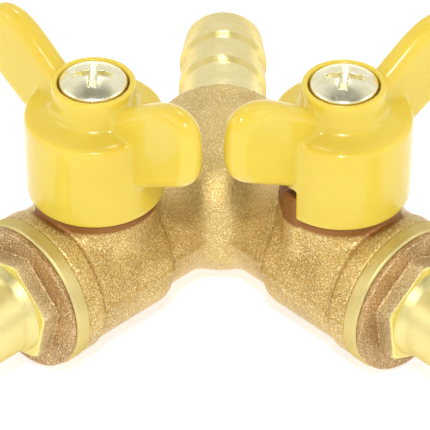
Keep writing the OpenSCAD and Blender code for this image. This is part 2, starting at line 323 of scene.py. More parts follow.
@dataclass(frozen=True)
class BlastedBrass(Finish):
    """Forged brass, sandblasted: fine sparkling grain over soft tarnish, with painted glints, painted light
    and painted shadow.
    """

    light: tuple = (0.73, 0.53, 0.175, 1)
    dark: tuple = (0.44, 0.27, 0.065, 1)
    grain: float = 0.19
    depth: float = 0.10
    rough: float = 0.38
    # colour of the painted light that lifts the shade on the hub and necks
    middle_light: tuple = (0.90, 0.73, 0.33, 1)
    # colour of the painted light that lifts the shade in the valleys beside the nose
    valley_warm: tuple = (1.0, 0.67, 0.28, 1)
    raised_light: tuple = (0.78, 0.62, 0.32, 1)
    raised_dark: tuple = (0.46, 0.32, 0.14, 1)
    faced_light: tuple = (0.93, 0.82, 0.30, 1)
    faced_dark: tuple = (0.70, 0.58, 0.13, 1)
    sparkle: tuple = (1.0, 0.90, 0.58, 1)
    seam_stain: tuple = (0.44, 0.22, 0.07, 1)
    # dark colour of the painted shadow under each handle's skirt
    skirt_stain: tuple = (0.26, 0.095, 0.012, 1)
    raised_from: float | None = None
    faced_from: float | None = None
    side: Side | None = None

    def shade(self, tree: Tree, place: Sock) -> Sock:
        """Blasted grain, cast clouding, painted glints, painted light on the hub, necks and valleys, darker
        steps and a painted shadow under the skirts; a cap's hexagon is raised, and its end is faced.

        Args:
            tree: the material's node tree.
            place: the Object coordinate, in millimetres.

        Returns:
            The shader's output.
        """
        grit = self.noise(tree, place, self.grain, 3.0, 0.7)
        coarse = self.noise(tree, place, self.grain * 2.6, 2.0, 0.6)
        cloud = self.noise(tree, place, 4.5, 3.0, 0.6)
        inputs = {"Vector": place, "Scale": 1.0 / (self.grain * 1.5)}
        pits = tree.node("ShaderNodeTexVoronoi", {"feature": "F1"}, inputs)
        tone = (cloud.ramp(0.3, 0.7) * 0.35 + grit.ramp(0.40, 0.62) * 0.65).ramp(0.1, 0.9)
        colour = tree.blend(tone, self.dark, self.light)
        if self.side is None:
            # painted light: the hub and necks are lightened a little to lift their shade
            colour = tree.blend(Layout.middle(tree, place) * 0.22, colour, self.middle_light)
            # painted light: the shaded valleys beside the nose are painted lighter and warmer
            colour = tree.blend(Layout.valleys(tree, place) * 0.6, colour, self.valley_warm)
        else:
            along = Layout.along(tree, place, self.side)
            raised = along.ramp(self.raised_from, self.raised_from + 0.25)
            colour = tree.blend(raised, colour, tree.blend(tone, self.raised_dark, self.raised_light))
        # painted glints: bright specks of the sparkle colour stand in for highlights; the same specks are
        # also made a little smoother
        glint = grit.ramp(0.54, 0.64) * coarse.ramp(0.40, 0.52)
        colour = tree.blend(glint * 0.85, colour, self.sparkle)
        # darker tone painted along the steps at both ends of each valve chamber
        colour = tree.blend(Layout.seams(tree, place) * 0.3, colour, self.seam_stain)
        # painted shadow: a dark band on the body round the foot of each handle, under its skirt
        colour = tree.blend(Layout.under_skirts(tree, place) * 0.95, colour, self.skirt_stain)
        height = grit * 0.6 + coarse * 0.3 + pits.ramp(0.0, 0.6) * 0.25
        rough = cloud.ramp(0.2, 0.8, self.rough - 0.05, self.rough + 0.08) - glint * 0.14
        if self.side is not None:
            faced = along.ramp(self.faced_from, self.faced_from + 0.12)
            lathe = tree.streaks(Layout.off_axis(tree, place, self.side), 9.0, 3.0, 0.7)
            ringed = tree.blend(lathe.ramp(0.3, 0.7), self.faced_dark, self.faced_light)
            colour = tree.blend(faced, colour, ringed)
            rough = rough * (1.0 - faced) + faced * 0.24
            height = height * (1.0 - faced) + lathe * faced * 0.15
        normal = self.bump(tree, height, self.depth)
        return self.surface(
            tree, Base_Color=colour, Metallic=0.6, Roughness=rough, Normal=normal, Specular_IOR_Level=0.7
        )


@dataclass(frozen=True)
class TurnedBrass(Finish):
    """Bright brass off the lathe, with fine rings round its own axis."""

    side: Side | None = None
    light: tuple = (0.86, 0.77, 0.38, 1)
    dark: tuple = (0.75, 0.64, 0.25, 1)
    edge_tint: tuple = (0.72, 0.62, 0.40, 1)
    rough: float = 0.34
    falls: tuple = ()

    def shade(self, tree: Tree, place: Sock) -> Sock:
        """Tool rings along the axis, faint drags and stains, and a deeper tone behind each ridge.

        Args:
            tree: the material's node tree.
            place: the Object coordinate, in millimetres.

        Returns:
            The shader's output.
        """
        along = Layout.along(tree, place, self.side)
        rings = tree.streaks(along, 7.0, 4.0, 0.75)
        stain = self.noise(tree, place, 2.6, 3.0, 0.6)
        drag = self.noise(tree, place, 0.5, 2.0, 0.5)
        tone = rings.ramp(0.25, 0.75) * 0.5 + stain.ramp(0.3, 0.7) * 0.4 + drag.ramp(0.3, 0.7) * 0.1
        colour = tree.blend(tone, self.dark, self.light)
        shaded = tuple(c * k for c, k in zip(self.dark, (0.96, 0.88, 0.55))) + (1,)
        for start, end in self.falls:
            lee = along.ramp(start - 0.1, start + 0.1) * along.ramp(end - 0.35, end + 0.25, 1.0, 0.0)
            colour = tree.blend(lee * 0.7, colour, shaded)
        rough = stain.ramp(0.3, 0.7, self.rough, self.rough + 0.08) + rings * 0.08
        normal = self.bump(tree, rings * 0.8 + drag * 0.2, 0.02)
        sockets = {"Base_Color": colour, "Roughness": rough, "Normal": normal}
        return self.surface(tree, Metallic=1.0, Specular_Tint=self.edge_tint, **sockets)


@dataclass(frozen=True)
class HandleCoat(Finish):
    """Glossy yellow dipped coating: slightly uneven thickness and faint orange peel."""

    name: str = "yellow_dip_coating"
    thick: tuple = (0.69, 0.515, 0.052, 1)
    thin: tuple = (0.71, 0.54, 0.064, 1)
    fleck: tuple = (0.80, 0.50, 0.03, 1)

    def shade(self, tree: Tree, place: Sock) -> Sock:
        """Soft colour drift, tiny specks and a dipped skin.

        Args:
            tree: the material's node tree.
            place: the Object coordinate, in millimetres.

        Returns:
            The shader's output.
        """
        drift = self.noise(tree, place, 7.0, 2.0, 0.5)
        speck = self.noise(tree, place, 0.35, 2.0, 0.6)
        colour = tree.blend(drift.ramp(0.3, 0.7), self.thick, self.thin)
        colour = tree.blend(speck.ramp(0.68, 0.8) * 0.25, colour, self.fleck)
        peel = self.noise(tree, place, 1.3, 2.0, 0.5)
        skin = self.noise(tree, place, 5.0, 1.0, 0.5)
        height = peel * 0.35 + skin * 0.65
        rough = drift.ramp(0.3, 0.7, 0.20, 0.27) + speck.ramp(0.6, 0.9) * 0.08
        return self.surface(
            tree,
            Base_Color=colour,
            Roughness=rough,
            Normal=self.bump(tree, height, 0.05),
            Specular_IOR_Level=0.35,
            Subsurface_Weight=0.45,
            Subsurface_Radius=(0.002, 0.0012, 0.0004),
            Subsurface_Scale=1.0,
            Coat_Weight=0.3,
            Coat_Roughness=0.05,
        )


@dataclass(frozen=True)
class Metal(Finish):
    """Plain metal with a soft grain: plated screws, washers, stems and the balls."""

    light: tuple
    dark: tuple
    rough: float = 0.2
    depth: float = 0.012

    def shade(self, tree: Tree, place: Sock) -> Sock:
        """Plating tint that drifts, and hairline scuffs.

        Args:
            tree: the material's node tree.
            place: the Object coordinate, in millimetres.

        Returns:
            The shader's output.
        """
        drift = self.noise(tree, place, 1.6, 3.0, 0.6)
        grain = self.noise(tree, place, 0.22, 2.0, 0.6)
        scuff = self.noise(tree, tree.vector("MULTIPLY", place, (7.0, 0.7, 3.0)), 1.1, 2.0, 0.5)
        colour = tree.blend(drift.ramp(0.3, 0.7), self.dark, self.light)
        worn = tuple(c * 0.7 for c in self.dark[:3]) + (1,)
        colour = tree.blend(scuff.ramp(0.62, 0.75) * 0.3, colour, worn)
        rough = drift.ramp(0.3, 0.7, self.rough, self.rough + 0.1) + scuff.ramp(0.55, 0.8) * 0.1
        normal = self.bump(tree, grain * 0.6 + scuff * 0.4, self.depth)
        return self.surface(tree, Base_Color=colour, Metallic=1.0, Roughness=rough, Normal=normal)


@dataclass(frozen=True)
class Plain(Finish):
    """Matt moulded or pressed stuff: seats, seals and thrust washers."""

    light: tuple
    dark: tuple
    rough: float = 0.5
    pitch: float = 1.5
    depth: float = 0.02

    def shade(self, tree: Tree, place: Sock) -> Sock:
        """Mottled tone over a fine tooth.

        Args:
            tree: the material's node tree.
            place: the Object coordinate, in millimetres.

        Returns:
            The shader's output.
        """
        mottle = self.noise(tree, place, self.pitch, 3.0, 0.6)
        tooth = self.noise(tree, place, self.pitch * 0.2, 2.0, 0.6)
        colour = tree.blend(mottle.ramp(0.3, 0.7), self.dark, self.light)
        rough = tooth.ramp(0.3, 0.7, self.rough - 0.05, self.rough + 0.05)
        normal = self.bump(tree, mottle * 0.4 + tooth * 0.6, self.depth)
        return self.surface(tree, Base_Color=colour, Roughness=rough, Normal=normal)


@dataclass(frozen=True)
class LightTable(Finish):
    """The pale studio floor, faintly lit from within so that shadows stay soft."""

    name: str = "studio_light_table"
    light: tuple = (0.62, 0.62, 0.62, 1)
    dark: tuple = (0.60, 0.60, 0.60, 1)
    glow: float = 0.64

    def shade(self, tree: Tree, place: Sock) -> Sock:
        """Almost even white with a faint paper mottle.

        Args:
            tree: the material's node tree.
            place: the Object coordinate, in millimetres.

        Returns:
            The shader's output.
        """
        mottle = self.noise(tree, place, 4.0, 2.0, 0.5)
        return self.surface(
            tree,
            Base_Color=tree.blend(mottle.ramp(0.3, 0.7), self.dark, self.light),
            Roughness=0.9,
            Emission_Color=WHITE,
            Emission_Strength=self.glow,
            Normal=self.bump(tree, mottle, 0.01),
        )


# ---- Layout of the object ----


@dataclass(frozen=True)
class Layout:
    """Where the water ways, stems and handles lie."""

    inlet_reach: float = 28.5
    stem_distance: float = 20.2
    face_forward: float = 11.4
    branch_angle: float = 45.0
    right_overtravel: float = 5.0
    cap_mouth: float = 51.8

    def heading(self, side: Side) -> float:
        """A branch's heading from +X, in radians."""
        return math.radians(-90 + side.value * self.branch_angle)

    def branch(self, side: Side) -> Matrix:
        """The frame of a branch: +X runs out along it from the meeting point."""
        return Matrix.Translation((0, -self.inlet_reach, 0)) @ Matrix.Rotation(self.heading(side), 4, "Z")

    def handle(self, side: Side) -> Matrix:
        """The frame of a handle: on the stem's axis, +X towards the leading wing."""
        turn = -90 - (self.right_overtravel if side is Side.RIGHT else 0)
        stem = self.branch(side) @ Matrix.Translation((self.stem_distance, 0, 0))
        return stem @ Matrix.Rotation(math.radians(turn), 4, "Z")

    @staticmethod
    def axis(side: Side | None) -> tuple[Vector, Vector]:
        """The axis of a branch, or of the inlet.

        Args:
            side: which branch, or None for the inlet.

        Returns:
            The meeting point, and the direction away from it.
        """
        start = Vector((0, -PLAN.inlet_reach, 0))
        if side is None:
            return start, Vector((0, 1, 0))
        turn = PLAN.heading(side)
        return start, Vector((math.cos(turn), math.sin(turn), 0))

    @staticmethod
    def along(tree: Tree, place: Sock, side: Side | None) -> Sock:
        """Distance of a shaded spot from the meeting point along a branch or the inlet."""
        start, way = Layout.axis(side)
        return tree.vector("DOT_PRODUCT", tree.vector("SUBTRACT", place, start), way, out="Value")

    @staticmethod
    def off_axis(tree: Tree, place: Sock, side: Side | None) -> Sock:
        """Distance of a shaded spot from the axis of a branch or the inlet."""
        start, way = Layout.axis(side)
        return tree.length(tree.vector("CROSS_PRODUCT", tree.vector("SUBTRACT", place, start), way))

    @staticmethod
    def under_skirts(tree: Tree, place: Sock) -> Sock:
        """Share of the painted shadow on the body round the foot of each handle, under its skirt.

        Args:
            tree: the tree of the finish.
            place: the shaded spot, in millimetres.

        Returns:
            The share, 0 to 1.
        """
        x, y, z = tree.parts(place)
        stems = [PLAN.branch(side) @ Vector((PLAN.stem_distance, 0, 0)) for side in Side]
        rings = [tree.hyp(x - stem.x, y - stem.y).ramp(7.9, 8.5, 1.0, 0.0) for stem in stems]
        return sum(rings) * z.ramp(8.2, 8.8)

    @staticmethod
    def middle(tree: Tree, place: Sock) -> Sock:
        """Share of the hub and the necks, where a little painted light lifts their shade."""
        start, _ = Layout.axis(None)
        return tree.length(tree.vector("SUBTRACT", place, start)).ramp(12.5, 16.5, 1.0, 0.0)

    @staticmethod
    def valleys(tree: Tree, place: Sock) -> Sock:
        """Share of the lighter, warmer painted light that lifts the shade between the nose and each valve
        chamber.

        Args:
            tree: the tree of the finish.
            place: the shaded spot, in millimetres.

        Returns:
            The share, 0 to 1.
        """
        start, _ = Layout.axis(None)
        arm = tree.vector("SUBTRACT", place, start)
        reach = tree.length(arm)
        across, ahead, _ = tree.parts(arm)
        aside = across.size().ramp(3.0, 6.0) * ahead.ramp(-4.0, 1.0, 1.0, 0.0)
        return reach.ramp(9.2, 11.5) * reach.ramp(13.5, 16.5, 1.0, 0.0) * aside

    @staticmethod
    def seams(tree: Tree, place: Sock) -> Sock:
        """Share of the darker tone in the steps at both ends of each valve chamber.

        Args:
            tree: the tree of the finish.
            place: the shaded spot, in millimetres.

        Returns:
            The share, 0 to 1.
        """
        steps = ((15.75, 0.35), (26.95, 0.42))
        total = sum(
            (Layout.along(tree, place, side) - middle).size().ramp(half * 0.3, half, 1.0, 0.0)
            for side in Side
            for middle, half in steps
        )
        return total.least(1.0)


PLAN = Layout()


# ---- Shapes written as distances ----


class Carving(Tree):
    """A geometry tree that turns a distance, in millimetres, into a closed mesh.

    The distance is below zero inside the shape. Its driving sizes are named inputs of the tree.
    The offset keeps the density that it becomes above zero near the skin.
    """

    offset: ClassVar[float] = 5.0

    def __init__(self, name: str) -> None:
        """Starts the tree with its output and the position that is measured.

        Args:
            name: the tree's name.
        """
        super().__init__(bpy.data.node_groups.new(name, "GeometryNodeTree"))
        self.nodes.interface.new_socket("Geometry", in_out="OUTPUT", socket_type="NodeSocketGeometry")
        self.given = self.nodes.nodes.new("NodeGroupInput")
        self.values: dict = {}
        self.place = self.in_millimetres(self.node("GeometryNodeInputPosition"))

    def input(self, name: str, value: float) -> Sock:
        """A named size of the tree, with the value that this build gives it."""
        made = self.nodes.interface.new_socket(name, in_out="INPUT", socket_type="NodeSocketFloat")
        self.values[made.identifier] = value
        return Sock(self, self.given.outputs[made.identifier])

    def sizes(self, source: object, *names: str) -> list[Sock]:
        """Named inputs for several fields of a dataclass."""
        return [self.input(name, float(getattr(source, name))) for name in names]

    def turned(self, x: Sock, y: Sock, angle: float) -> tuple[Sock, Sock]:
        """Coordinates in a frame that is turned by an angle, in radians."""
        c, s = math.cos(angle), math.sin(angle)
        return x * c + y * s, y * c - x * s

    def rounded(self, first: Sock, second: Sock, radius: float) -> Sock:
        """What two shapes share, with a true round where they meet.

        Args:
            first: distance to the first shape.
            second: distance to the second.
            radius: the round's radius.

        Returns:
            The distance to the shared space.
        """
        a, b = first + radius, second + radius
        outside = self.hyp(a.most(0.0), b.most(0.0))
        return outside + a.most(b).least(0.0) - radius

    def sector(self, x: Sock, y: Sock, start: float, end: float, soft: float = 0.0) -> Sock:
        """Distance to a wedge that spans less than half a turn.

        Args:
            x: first coordinate from the wedge's edge.
            y: second coordinate from it.
            start: heading of the wedge's first face, in degrees from +X.
            end: heading of its second face.
            soft: blending where the faces meet.

        Returns:
            The distance, below zero inside.
        """
        first, second = math.radians(start), math.radians(end)
        beyond = x * math.sin(first) - y * math.cos(first)
        return beyond.most(y * math.cos(second) - x * math.sin(second), soft)

    def slab(self, value: Sock, low: Sock | float, high: Sock | float) -> Sock:
        """Distance to the space between two parallel planes."""
        return (low - value).most(value - high)

    def bar(
        self, radius: Sock, size: Sock | float, value: Sock, low: object, high: object, soft: float = 0.0
    ) -> Sock:
        """Distance to a round bar.

        Args:
            radius: distance off the bar's axis.
            size: the bar's radius.
            value: distance along the axis.
            low: where the bar starts.
            high: where it ends.
            soft: rounding of its rims.

        Returns:
            The distance, below zero inside.
        """
        return (radius - size).most(self.slab(value, low, high), soft)

    def mesh(
        self,
        name: str,
        shape: Sock,
        low: tuple,
        high: tuple,
        voxel: float,
        finish: Finish,
        relax: int = 0,
    ) -> bpy.types.Object:
        """Ends the tree and returns its result as a plain mesh.

        Args:
            name: the piece's name.
            shape: the distance field.
            low: lowest corner of the space that is filled.
            high: its highest corner.
            voxel: size of one cell.
            finish: the finish that the tree sets.
            relax: rounds of smoothing for a dipped skin.

        Returns:
            The new object, in the frame that the field was written in.
        """
        steps = [max(8, round((h - l) / voxel) + 1) for l, h in zip(low, high)]
        cells = {"Resolution " + axis: n for axis, n in zip("XYZ", steps)}
        span = {"Min": tuple(v * MM for v in low), "Max": tuple(v * MM for v in high)}
        cube = self.node("GeometryNodeVolumeCube", {}, {"Density": self.offset - shape, **span, **cells})
        inputs = {"Volume": cube, "Threshold": self.offset, "Adaptivity": 0.0}
        skin = self.node("GeometryNodeVolumeToMesh", {"resolution_mode": "GRID"}, inputs)
        if relax:
            inputs = {"Value": self.node("GeometryNodeInputPosition"), "Iterations": relax}
            soft = self.node("GeometryNodeBlurAttribute", {"data_type": "FLOAT_VECTOR"}, inputs)
            skin = self.node("GeometryNodeSetPosition", {}, {"Geometry": skin, "Position": soft})
        skin = self.node("GeometryNodeSetShadeSmooth", {}, {0: skin})
        skin = self.node("GeometryNodeRealizeInstances", {}, {0: skin})
        skin = self.node("GeometryNodeSetMaterial", {}, {"Geometry": skin, "Material": finish.material()})
        self.node("NodeGroupOutput", {}, {0: skin})
        return self.grow(name)

    def grow(self, name: str) -> bpy.types.Object:
        """Runs the tree on an empty mesh.

        Args:
            name: the piece's name.

        Returns:
            A plain mesh object, with no modifier left on it.
        """
        host = Workshop.bench(name + "_host", bpy.data.meshes.new(name + "_host"))
        modifier = host.modifiers.new("carve", "NODES")
        modifier.node_group = self.nodes
        for identifier, value in self.values.items():
            modifier[identifier] = value
        bpy.context.view_layer.update()
        ready = host.evaluated_get(bpy.context.evaluated_depsgraph_get())
        mesh = bpy.data.meshes.new_from_object(ready)
        host.modifiers.remove(modifier)
        bpy.data.objects.remove(host)
        mesh.name = name
        return Workshop.bench(name, mesh)


# ---- Mesh helpers ----


class Workshop:
    """Makes and hands over finished pieces."""

    @staticmethod
    def bench(name: str, data: bpy.types.ID) -> bpy.types.Object:
        """Puts a mesh, a camera or a lamp into the scene as an object."""
        made = bpy.data.objects.new(name, data)
        bpy.context.scene.collection.objects.link(made)
        return made

    @staticmethod
    def dress(piece: bpy.types.Object, finish: Finish) -> None:
        """Gives a piece one finish all over."""
        piece.data.materials.clear()
        piece.data.materials.append(finish.material())

    @staticmethod
    def lathe(
        name: str, profile: list, frame_of: Matrix, finish: Finish, steps: int = 128
    ) -> bpy.types.Object:
        """Turns a closed profile about the X axis of a frame.

        Args:
            name: the piece's name.
            profile: (distance along, radius) corners in millimetres, in order round the section.
            frame_of: where the axis lies.
            finish: the piece's finish.
            steps: faces round the axis.

        Returns:
            The turned piece.
        """
        points = Workshop.eased(profile)
        shape = bmesh.new()
        rings = []
        for turn in range(steps):
            a = 2 * math.pi * turn / steps
            spots = [frame_of @ Vector((x, r * math.cos(a), r * math.sin(a))) for x, r in points]
            rings.append([shape.verts.new(spot * MM) for spot in spots])
        count = len(points)
        for turn in range(steps):
            here, there = rings[turn], rings[(turn + 1) % steps]
            for i in range(count):
                j = (i + 1) % count
                shape.faces.new((here[i], here[j], there[j], there[i]))
        bmesh.ops.recalc_face_normals(shape, faces=shape.faces)
        for face in shape.faces:
            face.smooth = True
        mesh = bpy.data.meshes.new(name)
        shape.to_mesh(mesh)
        shape.free()
        piece = Workshop.bench(name, mesh)
        Workshop.dress(piece, finish)
        return piece

    @staticmethod
    def eased(profile: list) -> list:
        """Rounds each corner of a profile a little, so that edges catch the light.

        Args:
            profile: (distance along, radius) or (distance along, radius, rounding) corners.

        Returns:
            The profile with its rounded corners.
        """
        out = []
        count = len(profile)
        for i, corner in enumerate(profile):
            spot = Vector(corner[:2])
            before = Vector(profile[i - 1][:2]) - spot
            after = Vector(profile[(i + 1) % count][:2]) - spot
            ease = corner[2] if len(corner) > 2 else 0.08
            reach = min(ease, before.length * 0.45, after.length * 0.45)
            a, b = spot + before.normalized() * reach, spot + after.normalized() * reach
            for t in (0.0, 0.25, 0.5, 0.75, 1.0):
                out.append(tuple(a * (1 - t) ** 2 + spot * 2 * t * (1 - t) + b * t * t))
        return out

    @staticmethod
    def settle(piece: bpy.types.Object, place: Matrix) -> None:
        """Puts a piece's place, in millimetres, into its mesh."""
        where = place.copy()
        where.translation = where.translation * MM
        piece.data.transform(where)

    @staticmethod
    def hand_over(piece: bpy.types.Object, body: str, slot: str, node: str) -> None:
        """Attaches a finished piece to the body that it rides on, and hides the node that it stands for.

        Args:
            piece: the finished piece.
            body: the body it moves with.
            slot: not used.
            node: the node it stands for.
        """
        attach(piece, body)
        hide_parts(node)
        LOG.info("%s: %d faces, rides on %s", piece.name, len(piece.data.polygons), body)

    @staticmethod
    def hand_over_pair(first: bpy.types.Object, made: str, slot: str, word: str) -> None:
        """Sets one carved part and its copy on the two valves.

        Args:
            first: the part in the handle's frame.
            made: what both pieces are called after their side.
            slot: their material slot, handed on with each piece.
            word: what the nodes that they stand for are called after their side.
        """
        second = Workshop.bench(made + "_copy", first.data.copy())
        for side, piece in zip(Side, (first, second)):
            piece.name = f"{side.word}_{made}"
            piece.data.name = piece.name
            Workshop.settle(piece, PLAN.handle(side))
            Workshop.hand_over(piece, f"{side.word}_valve", slot, f"{side.word}_{word}")


# ---- Hose barb ----


@dataclass
class Barb:
    """The ridged end that a hose is pushed over."""

    barb_r: float = 5.55
    root_r: float = 5.25
    tip_r: float = 5.0
    tip_len: float = 0.8
    pitch: float = 5.25
    land: float = 0.7
    fall: float = 1.1
    length: float = 16.0
    bore_r: float = 3.5
    ridges: int = 2

    def falls(self, mouth: float) -> tuple:
        """Where each ridge falls away.

        Args:
            mouth: where the mouth lies along the axis.

        Returns:
            The (start, end) of each fall along the same axis.
        """
        feet = [mouth - self.tip_len - (i + 1) * self.pitch for i in range(self.ridges)]
        return tuple((foot, foot + self.fall) for foot in feet)

    def outline(self) -> list:
        """Corners from the mouth back, as (distance from the mouth, radius, rounding).

        Returns:
            The outer corners in order, the mouth's inner chamfer first.
        """
        points = [(0.35, self.bore_r, 0.05), (0.0, self.bore_r + 0.35, 0.1), (0.0, self.tip_r, 0.15)]
        for i in range(self.ridges):
            foot = self.tip_len + (i + 1) * self.pitch
            points.append((foot - self.fall - self.land, self.barb_r, 0.12))
            points.append((foot - self.fall, self.barb_r, 0.08))
            points.append((foot, self.root_r, 0.2))
        points.append((self.length, self.root_r, 0.3))
        return points


# ---- Body ----


@dataclass
class ForgedBody:
    """The forged body with its turned barb, shoulder and outlet bands."""

    hub_r: float = 9.0
    hub_back: float = 7.6
    nose_r: float = 8.9
    nose_forward: float = 3.4
    neck_r: float = 7.7
    chamber_r: float = 8.7
    chamber_back: float = 4.6
    rim_r: float = 9.05
    rim_start: float = 6.75
    band_start: float = 9.5
    band_r: float = 9.15
    foot_r: float = 7.3
    foot_top: float = 9.7
    boss_r: float = 4.9
    boss_top: float = 15.2
    lug_r: float = 7.7
    lug_top: float = 12.4
    bore_r: float = 3.5
    cavity_r: float = 6.4
    thread_r: float = 7.6
    stem_hole_r: float = 3.0
    pocket_r: float = 4.4
    parting: float = 0.2
    neck_blend: float = 1.5
    chamber_round: float = 1.3
    step_r: float = 0.30
    lug_from: float = -109.0
    lug_to: float = -88.0
    voxel: float = 0.31
    barb: Barb = field(default_factory=Barb)

    def build(self) -> None:
        """Makes every piece of the body."""
        self.forging()
        self.inlet()
        for side in Side:
            self.band(side)

    def forging(self) -> None:
        """Carves the forged part: hub, nose, branches, feet, lugs and the hollows."""
        carve = Carving("forged_body_carving")
        x, y, z = carve.parts(carve.place)
        hub_r, hub_back, nose_r, nose_forward, bore_r = carve.sizes(
            self, "hub_r", "hub_back", "nose_r", "nose_forward", "bore_r"
        )
        y = y + PLAN.inlet_reach
        off = carve.hyp(x, z)
        hub = carve.bar(off, hub_r, y, -nose_forward, hub_back)
        nose = carve.hyp(x, y + nose_forward, z) - nose_r
        solid = hub.least(nose, 0.25)
        hollow = (off - bore_r).most(-y)
        for side in Side:
            arm, way = self.arm(carve, x, y, z, side)
            solid = solid.least(arm, self.neck_blend)
            hollow = hollow.least(way)
        line = z.size().ramp(0.1, 0.42, self.parting, 0.0) * y.ramp(-2.0, 2.0, 1.0, 0.35)
        solid = (solid - line).most(y - hub_back, 0.5)
        for side in Side:
            s, _ = carve.turned(x, y, PLAN.heading(side))
            solid = solid.most(s - (PLAN.stem_distance + self.band_start))
        shape = solid.most(-hollow)
        low, high = (-30.6, -61.6, -10.0), (30.6, -19.2, 16.0)
        piece = carve.mesh("body_forging", shape, low, high, self.voxel, BlastedBrass("blasted_brass"))
        Workshop.hand_over(piece, "body", "forged_brass", "valve_body")

    def arm(self, carve: Carving, x: Sock, y: Sock, z: Sock, side: Side) -> tuple[Sock, Sock]:
        """One branch with its boss and stop lug, and its hollows.

        Args:
            carve: the tree.
            x: distance across the object.
            y: distance from the meeting point, towards the inlet.
            z: height.
            side: which branch.

        Returns:
            The distances to the solid and to the hollows.
        """
        s, t = carve.turned(x, y, PLAN.heading(side))
        off = carve.hyp(t, z)
        stem = PLAN.stem_distance
        back, rim = stem - self.chamber_back, stem + self.rim_start
        face = stem + PLAN.face_forward
        neck = carve.bar(off, self.neck_r, s, 0.0, back + 3)
        chamber = carve.bar(off, self.chamber_r, s, back, face, self.chamber_round)
        heavy = carve.bar(off, self.rim_r, s, rim, face + 1.0, 0.55)
        solid = neck.least(chamber, 0.4).least(heavy, 0.2)
        groove = self.step_r - carve.hyp(off - (self.chamber_r + 0.14), s - (rim - 0.02))
        solid = solid.most(groove, 0.2)
        u = s - stem
        round_stem = carve.hyp(u, t)
        foot = carve.bar(round_stem, self.foot_r, z, 2.0, self.foot_top, 0.6)
        inner = carve.bar(round_stem, self.boss_r, z, 2.0, self.boss_top, 0.3)
        solid = solid.least(foot, 0.9).least(inner, 0.5)
        lug = carve.bar(round_stem, self.lug_r, z, 4.0, self.lug_top, 0.5)
        inside = carve.sector(u, t, self.lug_from, self.lug_to, 0.3)
        solid = solid.least(lug.most(inside, 0.4), 0.7)
        bore = carve.bar(off, self.bore_r, s, 0.0, stem)
        cavity = carve.bar(off, self.cavity_r, s, stem - 6.0, stem + 6.0)
        thread = carve.bar(off, self.thread_r, s, stem + 5.0, face + 5)
        pocket = carve.bar(round_stem, self.pocket_r, z, 3.0, 8.0)
        hole = carve.bar(round_stem, self.stem_hole_r, z, 3.0, self.boss_top + 3)
        return solid, bore.least(cavity).least(thread).least(pocket).least(hole)

    def inlet(self) -> None:
        """Turns the inlet barb and its flared shoulder."""
        reach, back = PLAN.inlet_reach, self.hub_back
        root, foot_r = self.barb.root_r, self.hub_r - 0.35
        run = reach - back - self.barb.length
        points = [(reach - d, r, e) for d, r, e in self.barb.outline()]
        flare = 14
        for i in range(1, flare + 1):
            a = math.pi / 2 * i / flare
            r = root + (foot_r - root) * (1 - math.cos(a))
            points.append((reach - self.barb.length - run * math.sin(a), r, 0.02))
        points += [(back - 0.5, foot_r, 0.05), (back - 0.5, self.bore_r, 0.0)]
        finish = TurnedBrass(
            "turned_brass_inlet", None, light=(0.99, 0.90, 0.53, 1), dark=(0.88, 0.75, 0.34, 1), rough=0.12,
            falls=self.barb.falls(reach),
        )
        place = Matrix.Translation((0, -reach, 0)) @ Matrix.Rotation(math.pi / 2, 4, "Z")
        piece = Workshop.lathe("inlet_barb_turned", points, place, finish)
        Workshop.hand_over(piece, "body", "machined_brass", "valve_body")

    def band(self, side: Side) -> None:
        """Turns the bright band at the end of a branch.

        Args:
            side: which branch.
        """
        start = PLAN.stem_distance + self.band_start
        face = PLAN.stem_distance + PLAN.face_forward
        points = [
            (start - 0.3, self.thread_r, 0.0), (face, self.thread_r, 0.0), (face, self.band_r - 0.25, 0.1),
            (face - 0.25, self.band_r, 0.12), (start + 0.12, self.band_r, 0.12),
            (start - 0.02, self.rim_r - 0.12, 0.05), (start - 0.3, self.rim_r - 0.2, 0.0),
        ]
        light, dark = (0.76, 0.65, 0.30, 1), (0.62, 0.50, 0.20, 1)
        finish = TurnedBrass(f"turned_brass_{side.word}_band", side, light=light, dark=dark, rough=0.40)
        piece = Workshop.lathe(f"{side.word}_band_turned", points, PLAN.branch(side), finish, 160)
        Workshop.hand_over(piece, "body", "machined_brass", "valve_body")


# ---- End caps ----


